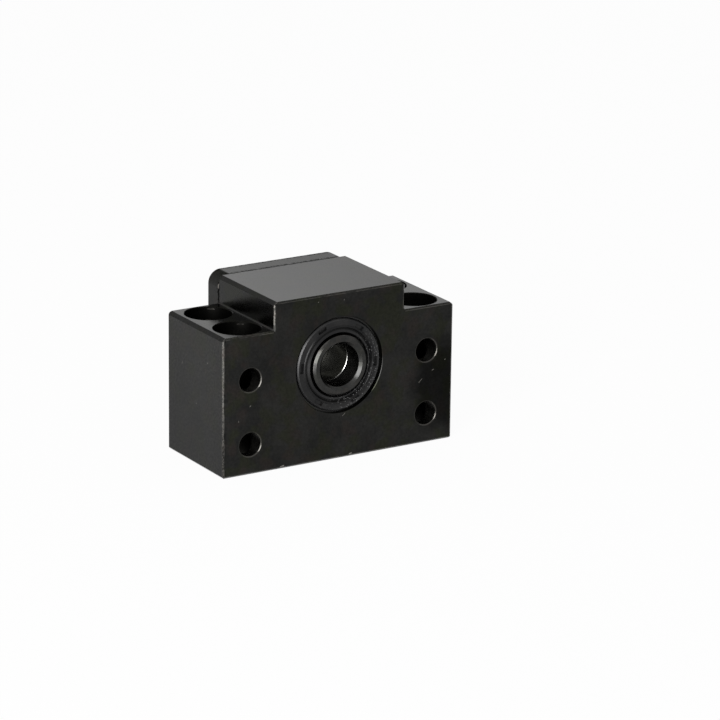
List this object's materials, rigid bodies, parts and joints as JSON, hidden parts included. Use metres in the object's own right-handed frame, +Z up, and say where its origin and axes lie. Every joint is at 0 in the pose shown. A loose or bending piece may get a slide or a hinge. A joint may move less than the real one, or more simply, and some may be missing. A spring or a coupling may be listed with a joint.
{
  "type": "ball screw end support",
  "caption": "Shouldered steel block with sealed angular contact bearings between collars, which holds the fixed end of a ball screw.",
  "frame": {"origin": "centre of the base, midway between the block's front face and the lid's outer face", "axes": "+X across the block, +Y along the shaft from the front seal towards the lid, +Z up from the base"},
  "size_m": [0.06, 0.0307, 0.039],
  "materials": {
    "black_oxide_steel": "satin",
    "screw_steel": "satin",
    "seal_rubber": "matte",
    "collar_steel": "satin",
    "bearing_steel": "satin",
    "ball_steel": "polished",
    "cage_resin": "matte"
  },
  "bodies": {
    "block": {"housing": "black_oxide_steel", "lid": "black_oxide_steel", "lid_screws": "screw_steel", "front_seal": "seal_rubber", "rear_seal": "seal_rubber", "front_outer_ring": "bearing_steel", "rear_outer_ring": "bearing_steel"},
    "spindle_pack": {"front_collar": "collar_steel", "front_inner_ring": "bearing_steel", "rear_inner_ring": "bearing_steel", "rear_collar": "collar_steel"},
    "front_ball_set": {"front_cage": "cage_resin", "front_ball_1": "ball_steel", "front_ball_2": "ball_steel", "front_ball_3": "ball_steel", "front_ball_4": "ball_steel", "front_ball_5": "ball_steel", "front_ball_6": "ball_steel", "front_ball_7": "ball_steel", "front_ball_8": "ball_steel", "front_ball_9": "ball_steel"},
    "rear_ball_set": {"rear_cage": "cage_resin", "rear_ball_1": "ball_steel", "rear_ball_2": "ball_steel", "rear_ball_3": "ball_steel", "rear_ball_4": "ball_steel", "rear_ball_5": "ball_steel", "rear_ball_6": "ball_steel", "rear_ball_7": "ball_steel", "rear_ball_8": "ball_steel", "rear_ball_9": "ball_steel"}
  },
  "joints": [
    {"name": "spindle_spin", "type": "hinge", "parent": "block", "child": "spindle_pack", "pos_m": [0, -0.00085, 0.022], "axis": [0, 1, 0], "continuous": true},
    {"name": "front_ball_spin", "type": "hinge", "parent": "block", "child": "front_ball_set", "pos_m": [0, -0.006, 0.022], "axis": [0, 1, 0], "continuous": true},
    {"name": "rear_ball_spin", "type": "hinge", "parent": "block", "child": "rear_ball_set", "pos_m": [0, 0.002, 0.022], "axis": [0, 1, 0], "continuous": true}
  ],
  "couplings": [
    {"joint": "front_ball_spin", "follows": "spindle_spin", "ratio": 0.3854},
    {"joint": "rear_ball_spin", "follows": "spindle_spin", "ratio": 0.3854}
  ]
}
